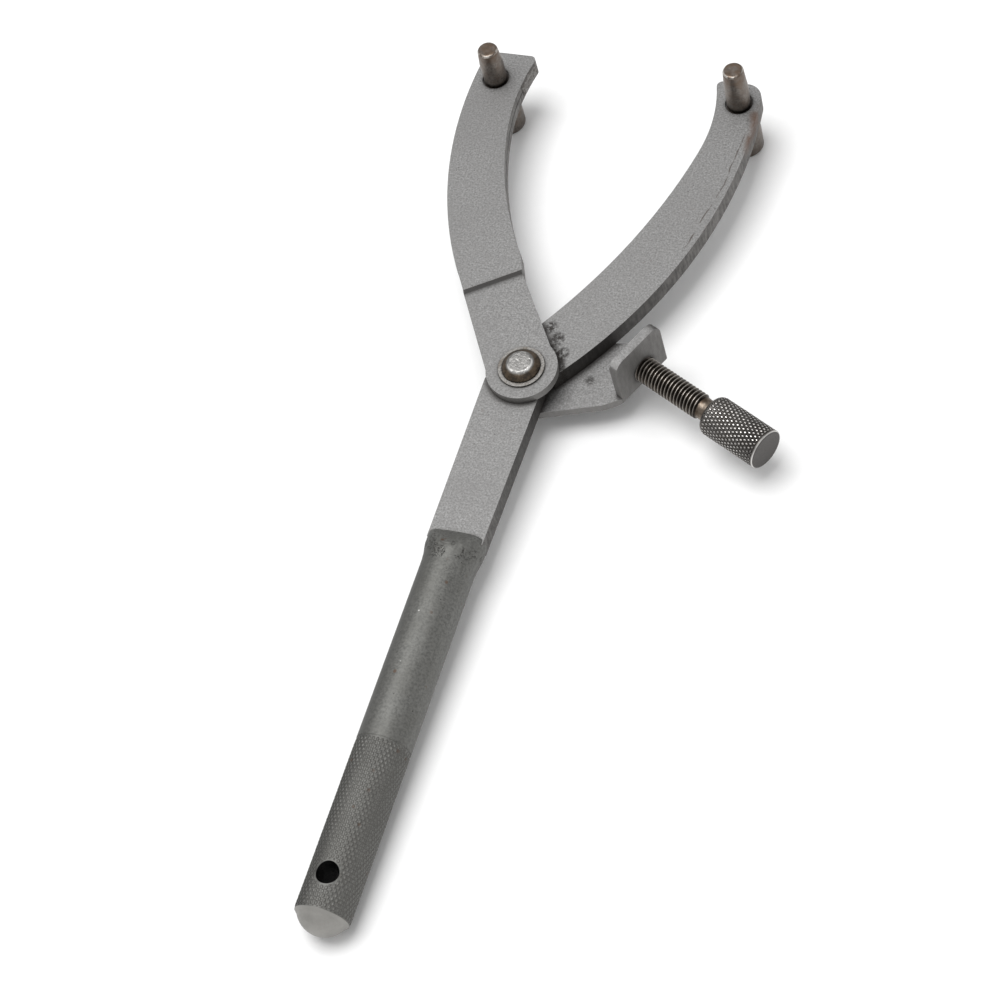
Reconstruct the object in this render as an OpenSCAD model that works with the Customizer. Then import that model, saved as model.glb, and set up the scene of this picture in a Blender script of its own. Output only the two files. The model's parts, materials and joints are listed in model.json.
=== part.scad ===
// Adjustable pin holding tool: a flat curved jaw welded to a round handle, and a second
// curved jaw that swings on a rivet and is set by a knurled screw.
// Millimetres. The origin is the centre of the hanging hole in the handle, +Y runs along the
// handle towards the jaws and +Z is the direction of the working pins.

/* [Handle] */
// diameter of the round handle bar
handle_d = 16; // [14:0.5:18]
// diameter of the hanging hole across the handle
hole_d = 6.5; // [4:0.5:8]
// distance from the hanging hole to the free end of the handle
hole_to_end = 11; // [8:0.5:14]
// how far the free end bulges
end_dome = 4.2; // [1:0.1:6]
// size of the chamfer round the free end
end_chamfer = 0.8; // [0.4:0.1:1.5]
// distance from the hanging hole to the upper end of the knurled grip
knurl_top = 41.5; // [30:0.5:60]
// how far the knurled grip is turned down below the bar
knurl_relief = 0.2; // [0.1:0.05:0.3]
// distance from the hanging hole to the front face of the bar
bar_front = 107; // [100:0.5:115]
// length of the sloping shoulder between the bar and the flat jaw
shoulder_run = 6.5; // [4:0.5:8]
// radius of the shoulder's bowed front edge
shoulder_bow = 32; // [25:1:60]
// how far the shoulder reaches over the flat jaw
shoulder_reach = 3; // [2:0.5:4]

/* [Fixed jaw] */
// thickness of the fixed jaw plate
plate_t = 6; // [5:0.5:8]
// distance from the hanging hole to the pivot, along the handle
pivot_y = 166; // [150:1:180]
// distance from the handle's centre line to the pivot
pivot_x = 2.5; // [1:0.1:4]
// width of the straight shank at the handle end
shank_w = 17; // [16:0.5:19]
// extra width of the shank at the pivot
shank_flare = 1.3; // [0:0.1:2]
// centre of the outer edge's arc, from the pivot
fixed_outer_c = [-109.1, 97.6];
// radius of the outer edge
fixed_outer_r = 153.3; // [153:0.1:154]
// centre of the inner edge's arc, from the pivot
fixed_inner_c = [-159.8, 126.7];
// radius of the inner edge
fixed_inner_r = 193.4; // [193:0.1:194]
// how far the fixed jaw reaches beyond the pivot
fixed_reach = 116.7; // [115:0.1:118]
// length of the tongue that is let into the handle bar
tang_l = 16; // [10:1:20]
// width of that tongue
tang_w = 12; // [10:0.5:13]

/* [Moving jaw] */
// thickness of each of the two pressed leaves
leaf_t = 2.8; // [2.5:0.1:2.9]
// clearance between the leaves and the fixed jaw at the pivot
leaf_gap = 0.1; // [0.05:0.05:0.2]
// centre of the outer edge's arc, as if the jaw lay on the right of the pivot
moving_outer_c = [-81, 100.3];
// radius of the outer edge
moving_outer_r = 131.7; // [131:0.1:132]
// centre of the inner edge's arc, as if the jaw lay on the right of the pivot
moving_inner_c = [-83, 108.9];
// radius of the inner edge
moving_inner_r = 118; // [117.5:0.1:118.5]
// how far the moving jaw reaches beyond the pivot
moving_reach = 118; // [116:0.1:119]
// direction in which the strap leaves the pivot
strap_angle = 121.1; // [118:0.1:124]
// half width of the strap on its outer side
strap_out = 10.45; // [10.2:0.05:10.6]
// half width of the strap on its inner side, where it meets the curved blade
strap_in = 9.49; // [9.3:0.01:9.6]
// distance from the pivot to the start of the curved blade
blade_u = 43.5; // [42:0.1:46]
// distance from the pivot to the strap's waist
waist_u = 35; // [30:0.5:38]
// half width of the strap on its inner side, at its waist
strap_waist = 8.3; // [7.5:0.1:9]
// radius of the round end at the pivot
lug_r = 10.9; // [10.8:0.1:12]
// distance from the pivot to the far edge of the bend that lifts each leaf
joggle_u = 36.7; // [34:0.1:39]
// length of that bend
joggle_run = 3; // [2.5:0.1:4]
// outer radius of the bend's upper corner
bend_r = 5; // [3:0.5:6]
// angle of the bend line against the strap
joggle_skew = 2.3; // [0:0.1:4]

/* [Jaw tips] */
// radius of the weld beads between the leaves
weld_r = 1.8; // [1:0.1:2.5]
// place of each bead beyond the pivot, and its height
weld_beads = [[107.5, 3.6], [110, 4.6], [112.5, 5.2], [114.8, 4.2]];
// distance below the tip over which the inner edge curls inwards
tip_curl_l = 28; // [24:1:32]
// radius of that curl on the fixed jaw
fixed_curl_r = 52; // [50:1:60]
// radius of that curl on the moving jaw
moving_curl_r = 70; // [60:1:80]
// radius of the outer corner of each tip
tip_outer_r = 5.6; // [4:0.1:6]
// radius of the inner corner of each tip
tip_inner_r = 1.8; // [1:0.1:2.5]

/* [Jaw pins] */
// position of the fixed jaw's pin, from the pivot
fixed_pin = [37.2, 108.9];
// position of the moving jaw's pin, from the pivot
moving_pin = [-43.35, 107.5];
// diameter of the straight part of the upper pin
pin_d = 7.5; // [6:0.1:7.8]
// diameter of the upper pin at its tip
pin_tip_d = 6.5; // [5:0.1:7.4]
// height of the upper pin's tip above the middle of the jaw
pin_up = 18; // [14:0.1:20]
// height at which the upper pin starts to taper
pin_taper_z = 11; // [8:0.5:12]
// diameter of the pin's seat in the jaw
pin_seat_d = 8; // [7.9:0.1:9]
// diameter of the sinking round the upper pin
pin_sink_d = 8.8; // [8.4:0.1:10]
// depth of that sinking
pin_sink_h = 0.8; // [0.4:0.1:1.2]
// depth of the undercut at the foot of the upper pin
pin_undercut = 0.3; // [0.2:0.05:0.6]
// height to which that undercut runs above the jaw
pin_undercut_h = 0.3; // [0.1:0.1:1]
// diameter of the large lower pin
pin_low_d = 11; // [9:0.5:12]
// length of the lower pin's straight part
pin_low_l = 8; // [4:0.5:11]
// diameter of the lower pin where it meets the jaw
pin_neck_d = 10; // [9:0.5:11]
// depth of the lower pin's end below the middle of the jaw
pin_down = 18.6; // [15:0.1:21]
// size of the worn edge at either end of a pin
pin_edge = 0.7; // [0.4:0.1:1.2]
// how much lower the moving jaw's pin sits, and how much higher the fixed jaw's
pin_shift = 0.9; // [0:0.1:1]

/* [Pivot] */
// diameter of the rivet's shank
rivet_d = 9; // [8:0.5:10]
// diameter of the rivet's domed head
rivet_head_d = 11.7; // [11:0.1:13]
// diameter of the flat on top of the head
rivet_flat_d = 6.8; // [5:0.1:8]
// height of the head
rivet_head_h = 2.4; // [1.5:0.1:3]
// height of the head's straight rim
rivet_rim = 0.5; // [0.3:0.1:0.8]
// size of the head's rounded brow above its rim
rivet_brow = 0.9; // [0.5:0.1:1]
// outer diameter of the washer under the head
washer_d = 14.2; // [13.5:0.1:16]
// thickness of that washer
washer_t = 0.6; // [0.4:0.1:1]

/* [Screw bracket] */
// point where the screw leaves the flange, from the pivot
screw_at = [34.9, 8.95];
// direction of the screw
screw_angle = -26; // [-30:0.5:-24]
// height of the screw's axis above the middle of the jaw
screw_z = 1.2; // [1.1:0.1:2]
// corners of the bracket's near edge, from the pivot
bracket_near = [[3.4, -10.3], [24.3, -3.3]];
// corners of the bracket's far edge, from the pivot
bracket_far = [[26.5, 19.5], [10, 17], [-4, 9.9]];
// width of the flange on the side near the pivot
flange_near = 10.2; // [9:0.1:11]
// width of the flange on the far side
flange_far = 9; // [8:0.1:10]
// height of the flange above the middle of the jaw
flange_top = 13.5; // [11:0.1:15]
// radius of the flange's upper corners
flange_corner = 3.5; // [3:0.1:6]
// radius of the bend at the foot of the flange
flange_bend = 2.4; // [1:0.1:2.7]

/* [Clamp screw] */
// outside diameter of the screw
screw_d = 8; // [7:0.1:8.5]
// radial clearance of the screw in the flange
screw_clear = 0.06; // [0.02:0.01:0.1]
// length of thread outside the flange
thread_out = 23; // [18:0.5:26]
// size of the chamfer at either end of the thread
thread_edge = 0.6; // [0.3:0.1:1]
// diameter of the plain neck
neck_d = 7; // [6:0.1:7.8]
// length of the plain neck
neck_l = 3.4; // [2:0.1:5]
// diameter of the knurled knob
knob_d = 12.6; // [11:0.1:14]
// length of the knurled knob
knob_l = 21; // [18:0.5:24]
// rounding of the knob's inner end
knob_round = 1.6; // [1:0.1:2.5]
// chamfer of the knob's outer end
knob_chamfer = 0.5; // [0.3:0.1:1]
// how far the knob is turned down to make room for its knurl
knob_relief = 0.2; // [0.1:0.05:0.3]
// distance from the flange to the screw's domed tip
tip_reach = 5.8; // [4.5:0.1:6.4]
// diameter of the screw's plain tip
tip_d = 6; // [5:0.1:6]
// length of the screw's plain tip
tip_l = 3.3; // [3.1:0.1:4]

/* [Hidden] */
$fn = 216;
pivot = [pivot_x, pivot_y, 0];
plate_z = plate_t / 2;
handle_r = handle_d / 2;
// height of a leaf's far face beside the fixed jaw and where it lies over it
arm_z = plate_z;
head_z = plate_z + leaf_gap + leaf_t;
joggle_rise = head_z - arm_z;
joggle_angle = atan2(joggle_rise, joggle_run);
// shift of the bend's inner corners that keeps the leaf's thickness
joggle_lap = leaf_t * tan(joggle_angle / 2);
washer_gap = 0.05;
washer_z = head_z + washer_gap;
head_base_z = washer_z + washer_t;
bolt_r = rivet_d / 2;
// radial play of the leaves on the rivet
rivet_clear = 0.05;
// a worn edge is turned in two steps, the first of them this large
pin_bevel = 0.35 * pin_edge;
tang_clear = 0.1;
// the dome starts this far inside the edge of the free end
end_step = 0.05;
// the shank runs this far past the pivot into the blade, and stays this far inside its edges
shank_join = 4;
join_in = 1;
// the bracket ends this far inside the flange, and the flange starts this far above its face
foot_in = 0.3;
foot_up = 0.5;
// the strap runs this far into the blade, drawn in by this much on either side
strap_lap = 3;
lap_taper = 1.5;
// the strap's inner edge meets the round end this far inside its radius
lug_step = 0.6;
// reach of a blade's outline to either side of the pivot
blade_near = 9.5;
blade_far = 60;
cut = 200;
eps = 0.01;
// a curl is cut a hair short, so that the two arcs of an inner edge meet at a definite step
curl_short = 0.03;

// ---- outlines, seen from above with the pivot at the origin ----

// x of the right-hand side of a circle at height y
function arc_x(c, r, y) = c[0] + sqrt(r * r - pow(y - c[1], 2));

// centre of the tighter arc that carries a jaw's inner edge on to its tip without a kink
function curl_centre(c, r, reach, curl) =
    let (y = reach - tip_curl_l, slope = asin((y - c[1]) / r))
        [c[0] + (r - curl) * cos(slope), y - curl * sin(slope)];

// direction from p to q
function heading(p, q) = atan2(q[1] - p[1], q[0] - p[0]);

// what a rounded corner of radius r leaves over between the directions a1 and a2
module corner_waste(r, a1, a2) {
    difference() {
        polygon([[0, 0], 2 * r * [cos(a1), sin(a1)],
                 3 * r * [cos((a1 + a2) / 2), sin((a1 + a2) / 2)], 2 * r * [cos(a2), sin(a2)]]);
        circle(r);
    }
}

// a curved blade up to its rounded tip, on the right of the pivot and bending to the left
module blade(outer_c, outer_r, inner_c, inner_r, reach, curl) {
    y_curl = reach - tip_curl_l;
    curl_c = curl_centre(inner_c, inner_r, reach, curl);
    curl_r = curl - curl_short;
    // the corner arcs run into the edges and into the straight end without a kink
    outer_corner = [arc_x(outer_c, outer_r - tip_outer_r, reach - tip_outer_r),
                    reach - tip_outer_r];
    inner_corner = [arc_x(curl_c, curl_r + tip_inner_r, reach - tip_inner_r),
                    reach - tip_inner_r];
    difference() {
        intersection() {
            translate([-blade_near, 0])
                square([blade_near + blade_far, reach]);
            translate(outer_c)
                circle(outer_r);
        }
        intersection() {
            translate(inner_c)
                circle(inner_r);
            translate([-cut, -cut])
                square([2 * cut, cut + y_curl]);
        }
        intersection() {
            translate(curl_c)
                circle(curl_r);
            translate([-cut, y_curl])
                square([2 * cut, cut]);
        }
        translate(outer_corner)
            corner_waste(tip_outer_r, heading(outer_c, outer_corner), 90);
        translate(inner_corner)
            corner_waste(tip_inner_r, 90, 360 + heading(inner_corner, curl_c));
    }
}

module fixed_outline() {
    shank_mid = -pivot_x;
    half = shank_w / 2;
    shank_end = bar_front - pivot_y;
    blade(fixed_outer_c, fixed_outer_r, fixed_inner_c, fixed_inner_r, fixed_reach, fixed_curl_r);
    polygon([[shank_mid - half, shank_end], [shank_mid + half, shank_end],
             [shank_mid + half + shank_flare, 0],
             [arc_x(fixed_outer_c, fixed_outer_r, shank_join) - join_in, shank_join],
             [arc_x(fixed_inner_c, fixed_inner_r, shank_join) + join_in, shank_join],
             [shank_mid - half, -shank_join]]);
    translate([shank_mid - tang_w / 2, shank_end - tang_l])
        square([tang_w, tang_l + 1]);
}

// the straight part of the moving jaw, between its round end and its blade
module strap_outline() {
    half = lug_r - lug_step;
    end_u = blade_u + strap_lap;
    rotate(strap_angle)
        polygon([[0, strap_out], [blade_u, strap_out], [end_u, strap_out - lap_taper],
                 [end_u, lap_taper - strap_in], [blade_u, -strap_in], [waist_u, -strap_waist],
                 [waist_u / 2, -(strap_waist + half) / 2], [0, -half]]);
}

// the curved part of the moving jaw
module moving_blade() {
    intersection() {
        mirror([1, 0])
            blade(moving_outer_c, moving_outer_r, moving_inner_c, moving_inner_r, moving_reach,
                  moving_curl_r);
        rotate(strap_angle)
            translate([blade_u, -blade_far])
                square([cut, 2 * blade_far]);
    }
}

// a point given in the screw's frame, seen from the pivot
function from_screw(x, y) =
    screw_at + [x * cos(screw_angle) - y * sin(screw_angle),
                x * sin(screw_angle) + y * cos(screw_angle)];

// the lower leaf runs on past the pivot as the bracket, which ends inside the flange's foot
module bracket_outline() {
    foot = [from_screw(-foot_in, foot_in - flange_near), from_screw(-foot_in, flange_far - foot_in)];
    polygon(concat(bracket_near, foot, bracket_far));
}

// ---- solids built about the pivot ----

// the two bends of a leaf in profile: u runs out along the strap
module joggle_profile() {
    far = joggle_u;
    near = joggle_u - joggle_run;
    difference() {
        polygon([[-cut, head_z], [near, head_z], [far, arm_z], [cut, arm_z],
                 [cut, arm_z - leaf_t], [far - joggle_lap, arm_z - leaf_t],
                 [near - joggle_lap, head_z - leaf_t], [-cut, head_z - leaf_t]]);
        translate([near - bend_r * tan(joggle_angle / 2), head_z - bend_r])
            corner_waste(bend_r, 90 - joggle_angle, 90);
    }
}

// a leaf of the moving jaw, bent clear of the fixed jaw; children are further outlines to add
module bent_leaf() {
    intersection() {
        union() {
            cylinder(h = 2 * head_z, r = lug_r, center = true);
            linear_extrude(height = 2 * head_z, center = true)
                strap_outline();
            linear_extrude(height = 2 * head_z, center = true)
                moving_blade();
            for (i = [0:1:$children - 1])
                linear_extrude(height = 2 * head_z, center = true)
                    children(i);
        }
        rotate([0, 0, strap_angle + joggle_skew])
            rotate([90, 0, 0])
                linear_extrude(height = 2 * cut, center = true)
                    joggle_profile();
    }
}

// through hole with a shallow sinking at the top, for a jaw pin
module pin_hole(p) {
    translate([p[0], p[1], 0]) {
        cylinder(h = 4 * plate_t, d = pin_seat_d, center = true);
        translate([0, 0, plate_z - pin_sink_h])
            cylinder(h = plate_t, d = pin_sink_d);
    }
}

module rivet_hole(d) {
    cylinder(h = 4 * plate_t, d = d, center = true);
}

// a pin with a slim upper end and a stout lower end, dz higher than its nominal place
module jaw_pin(p, dz) {
    top = pin_up + dz;
    low = -pin_down + dz;
    sink_z = plate_z - pin_sink_h;
    foot_z = plate_z + pin_undercut_h;
    foot_r = pin_d / 2 - pin_undercut;
    low_r = pin_low_d / 2;
    tip_r = pin_tip_d / 2;
    translate([p[0], p[1], 0])
        rotate_extrude()
            polygon([[0, low], [low_r - pin_edge, low], [low_r - pin_bevel, low + pin_bevel],
                     [low_r, low + pin_edge], [low_r, low + pin_low_l],
                     [pin_neck_d / 2, -plate_z], [pin_seat_d / 2, -plate_z],
                     [pin_seat_d / 2, sink_z], [foot_r, sink_z], [foot_r, foot_z],
                     [pin_d / 2, foot_z], [pin_d / 2, pin_taper_z],
                     [tip_r, top - pin_edge], [tip_r - pin_bevel, top - pin_bevel],
                     [tip_r - pin_edge, top], [0, top]]);
}

// washer and rivet head lie on the outside of either leaf
module washer() {
    translate([0, 0, washer_z])
        difference() {
            cylinder(h = washer_t, d = washer_d);
            translate([0, 0, -eps])
                cylinder(h = washer_t + 2 * eps, d = rivet_d);
        }
}

// frame of the flange: x leaves it outwards along the screw, y runs along it
module at_screw() {
    translate([screw_at[0], screw_at[1], 0])
        rotate([0, 0, screw_angle])
            children();
}

// a solid turned about the screw's axis from an outline of [distance from flange, radius]
module turned(outline) {
    translate([0, 0, screw_z])
        rotate([0, 90, 0])
            rotate_extrude()
                polygon([for (p = outline) [p[1], p[0]]]);
}

module flange() {
    low = -head_z + foot_up;
    h = flange_top - low;
    w = flange_near + flange_far;
    difference() {
        translate([-leaf_t, -flange_near, low])
            cube([leaf_t, w, h]);
        // upper corners
        for (s = [-1, 1])
            translate([-leaf_t / 2, s > 0 ? flange_far - flange_corner : flange_corner - flange_near,
                       flange_top - flange_corner])
                rotate([90, 0, 90])
                    linear_extrude(height = 2 * leaf_t, center = true)
                        corner_waste(flange_corner, s > 0 ? 0 : 90, s > 0 ? 90 : 180);
        translate([0, 0, screw_z])
            rotate([0, 90, 0])
                cylinder(h = 4 * leaf_t, r = screw_d / 2 + screw_clear, center = true);
    }
}

// ---- nodes ----

module fixed_jaw() {
    color("silver")
        translate(pivot)
            difference() {
                linear_extrude(height = plate_t, center = true)
                    fixed_outline();
                rivet_hole(rivet_d);
                pin_hole(fixed_pin);
            }
}

// the sloping shoulder, its front edge bowed, that the bar and the weld share
module shoulder_envelope() {
    top_y = bar_front + shoulder_reach - shoulder_run;
    intersection() {
        translate([0, bar_front + shoulder_reach, 0])
            rotate([90, 0, 0])
                cylinder(h = cut, r = handle_r);
        translate([0, bar_front + shoulder_reach - shoulder_bow, 0]) {
            cylinder(h = handle_d, r = shoulder_bow, center = true);
            translate([-handle_d, -cut, -handle_r])
                cube([2 * handle_d, cut, handle_d]);
        }
        rotate([90, 0, 90])
            linear_extrude(height = 2 * handle_d, center = true)
                polygon([[-cut, handle_r], [top_y, handle_r],
                         [bar_front + shoulder_reach, plate_z],
                         [bar_front + shoulder_reach, -plate_z], [top_y, -handle_r],
                         [-cut, -handle_r]]);
    }
}

module handle_bar() {
    end_y = -hole_to_end;
    end_r = handle_r - knurl_relief - end_chamfer;
    dome_edge = end_r - end_step;
    dome_r = (dome_edge * dome_edge + end_dome * end_dome) / (2 * end_dome);
    color("dimgray")
        difference() {
            union() {
                intersection() {
                    shoulder_envelope();
                    translate([-handle_r, knurl_top, -handle_r])
                        cube([handle_d, bar_front - knurl_top, handle_d]);
                }
                rotate([-90, 0, 0])
                    translate([0, 0, end_y + end_chamfer])
                        cylinder(h = knurl_top - end_y - end_chamfer, r = handle_r - knurl_relief);
                rotate([-90, 0, 0])
                    translate([0, 0, end_y])
                        cylinder(h = end_chamfer, r1 = end_r, r2 = handle_r - knurl_relief);
                intersection() {
                    translate([0, end_y - end_dome + dome_r, 0])
                        sphere(dome_r);
                    translate([-handle_r, end_y + eps - handle_d, -handle_r])
                        cube(handle_d);
                }
            }
            cylinder(h = 2 * handle_d, d = hole_d, center = true);
            translate([-tang_w / 2 - tang_clear, bar_front - tang_l - tang_clear,
                       -plate_z - tang_clear])
                cube([tang_w + 2 * tang_clear, tang_l + 1, plate_t + 2 * tang_clear]);
        }
}

// one fillet of weld above the plate and one below it
module handle_weld() {
    color("gray")
        intersection() {
            shoulder_envelope();
            for (z = [plate_z, -handle_r])
                translate([-handle_r, bar_front, z])
                    cube([handle_d, shoulder_reach + 1, handle_r - plate_z]);
        }
}

module upper_leaf() {
    color("silver")
        translate(pivot)
            difference() {
                bent_leaf();
                rivet_hole(rivet_d + 2 * rivet_clear);
                pin_hole(moving_pin);
            }
}

module lower_leaf() {
    color("silver")
        translate(pivot)
            difference() {
                union() {
                    mirror([0, 0, 1])
                        bent_leaf()
                            bracket_outline();
                    at_screw()
                        flange();
                }
                rivet_hole(rivet_d + 2 * rivet_clear);
                pin_hole(moving_pin);
                // rounded foot of the bend, through bracket and flange alike
                at_screw()
                    translate([-flange_bend, 0, -head_z + flange_bend])
                        rotate([-90, 0, 0])
                            linear_extrude(height = cut, center = true)
                                corner_waste(flange_bend, 0, 90);
            }
}

// beads that join the leaves along the inner edge of the tip
module leaf_tip_weld() {
    curl_c = curl_centre(moving_inner_c, moving_inner_r, moving_reach, moving_curl_r);
    curl_r = moving_curl_r - curl_short;
    color("gray")
        translate(pivot)
            difference() {
                for (bead = weld_beads)
                    translate([-arc_x(curl_c, curl_r, bead[0]), bead[0], 0])
                        cylinder(h = bead[1], r = weld_r, center = true);
                linear_extrude(height = 2 * plate_t, center = true)
                    moving_blade();
            }
}

module fixed_jaw_pin() {
    color("tan")
        translate(pivot)
            jaw_pin(fixed_pin, pin_shift);
}

module moving_jaw_pin() {
    color("tan")
        translate(pivot)
            jaw_pin(moving_pin, -pin_shift);
}

module pivot_rivet() {
    flat_r = rivet_flat_d / 2;
    head_r = rivet_head_d / 2;
    top_z = head_base_z + rivet_head_h;
    rim_z = head_base_z + rivet_rim;
    brow_z = rim_z + rivet_brow;
    color("rosybrown")
        translate(pivot)
            rotate_extrude()
                polygon([[0, -top_z], [flat_r, -top_z], [head_r - rivet_brow, -brow_z],
                         [head_r, -rim_z], [head_r, -head_base_z], [bolt_r, -head_base_z],
                         [bolt_r, head_base_z], [head_r, head_base_z], [head_r, rim_z],
                         [head_r - rivet_brow, brow_z], [flat_r, top_z], [0, top_z]]);
}

module upper_washer() {
    color("lightgray")
        translate(pivot)
            washer();
}

module lower_washer() {
    color("lightgray")
        translate(pivot)
            mirror([0, 0, 1])
                washer();
}

module screw_shank() {
    r = screw_d / 2;
    start = tip_l - tip_reach;
    color("saddlebrown")
        translate(pivot)
            at_screw()
                turned([[start, 0], [start, r - thread_edge], [start + thread_edge, r],
                        [thread_out, r], [thread_out + thread_edge, neck_d / 2],
                        [thread_out + neck_l, neck_d / 2], [thread_out + neck_l, 0]]);
}

module screw_knob() {
    r = knob_d / 2 - knob_relief;
    start = thread_out + neck_l;
    stop = start + knob_l;
    color("dimgray")
        translate(pivot)
            at_screw()
                turned([[start, 0], [start, r - knob_round],
                        for (a = [15:15:75])
                            [start + knob_round * (1 - cos(a)), r - knob_round * (1 - sin(a))],
                        [start + knob_round, r], [stop - knob_chamfer, r],
                        [stop, r - knob_chamfer], [stop, 0]]);
}

module screw_tip() {
    r = tip_d / 2;
    stop = tip_l - tip_reach;
    dome = r;
    color("saddlebrown")
        translate(pivot)
            at_screw()
                turned([[-tip_reach, 0],
                        for (a = [15:15:75])
                            [-tip_reach + dome * (1 - cos(a)), r * sin(a)],
                        [-tip_reach + dome, r], [stop, r], [stop, 0]]);
}

fixed_jaw();
handle_bar();
handle_weld();
upper_leaf();
lower_leaf();
leaf_tip_weld();
fixed_jaw_pin();
moving_jaw_pin();
pivot_rivet();
upper_washer();
lower_washer();
screw_shank();
screw_knob();
screw_tip();
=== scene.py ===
"""Looks of the adjustable pin holding tool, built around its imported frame. Metres, row frame."""

import json
import math

import bmesh
import bpy
import numpy as np
from mathutils import Matrix, Vector


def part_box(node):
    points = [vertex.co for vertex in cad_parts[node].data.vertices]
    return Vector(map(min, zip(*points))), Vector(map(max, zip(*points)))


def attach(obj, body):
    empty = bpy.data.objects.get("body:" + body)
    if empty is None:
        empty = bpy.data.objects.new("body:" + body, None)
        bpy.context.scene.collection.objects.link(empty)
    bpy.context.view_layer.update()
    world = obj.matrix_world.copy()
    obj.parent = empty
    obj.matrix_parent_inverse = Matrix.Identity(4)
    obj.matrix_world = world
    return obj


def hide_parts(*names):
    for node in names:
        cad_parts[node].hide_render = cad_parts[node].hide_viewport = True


MM = 0.001

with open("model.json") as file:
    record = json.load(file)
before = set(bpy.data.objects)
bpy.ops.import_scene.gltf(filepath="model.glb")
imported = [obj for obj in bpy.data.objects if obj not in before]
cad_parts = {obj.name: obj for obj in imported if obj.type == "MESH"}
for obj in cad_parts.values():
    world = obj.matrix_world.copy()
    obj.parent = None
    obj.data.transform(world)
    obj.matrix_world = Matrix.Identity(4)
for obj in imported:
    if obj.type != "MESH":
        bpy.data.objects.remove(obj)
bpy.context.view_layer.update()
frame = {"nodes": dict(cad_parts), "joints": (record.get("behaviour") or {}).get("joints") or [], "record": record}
nodes = frame["nodes"]
joints = {j["name"]: j for j in frame["joints"]}

# ---- places that the frame gives ----

pivot = Vector(joints["jaw_pivot"]["pos_m"])
screw_pos = Vector(joints["screw_turn"]["pos_m"])
screw_out = -Vector(joints["screw_turn"]["axis"]).normalized()
HOLE_R = next(m["dims"]["r_mm"] for m in frame["record"]["mounts"]
              if m["name"] == "hanging_hole") * MM

# ---- sizes that the frame doesn't state, the same as in the part's source ----

PLATE_HALF_THICK = 3 * MM
SHANK_HALF_WIDE = 8.5 * MM
HEAD_R = 10.9 * MM
# handle: height of the domed end, its chamfer, depth and upper end of the grip's relief
END_DOME = 4.2 * MM
END_CHAMFER = 0.8 * MM
GRIP_RELIEF = 0.2 * MM
GRIP_TOP = 41.5 * MM
# handle: length of the slope down to the plate, and radius of its bowed front
SLOPE_RUN = 6.5 * MM
BOW_R = 32 * MM
# bend of each leaf: its direction from the pivot, and where it starts and ends
BEND_ANGLE = 123.4
BEND_FROM = 33.7 * MM
BEND_TO = 36.7 * MM
# screw: pitch, chamfer at the thread's end, radius and length of the neck, round of the knob
PITCH = 1.25 * MM
THREAD_EDGE = 0.6 * MM
NECK_R = 3.5 * MM
NECK_LENGTH = 3.4 * MM
KNOB_ROUND = 1.6 * MM

# ---- measures taken from the frame's pieces ----


def centre(node):
    low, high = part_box(node)
    return (low + high) / 2


def along_screw(node):
    """Where a node starts and stops along the screw, from screw_pos outwards."""
    co = [(v.co - screw_pos).dot(screw_out) for v in nodes[node].data.vertices]
    return min(co), max(co)


def far_from_screw(node):
    """Largest radius of a node about the screw's axis."""
    found = 0.0
    for v in nodes[node].data.vertices:
        d = v.co - screw_pos
        found = max(found, (d - d.dot(screw_out) * screw_out).length)
    return found


# ---- procedural materials ----


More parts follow.
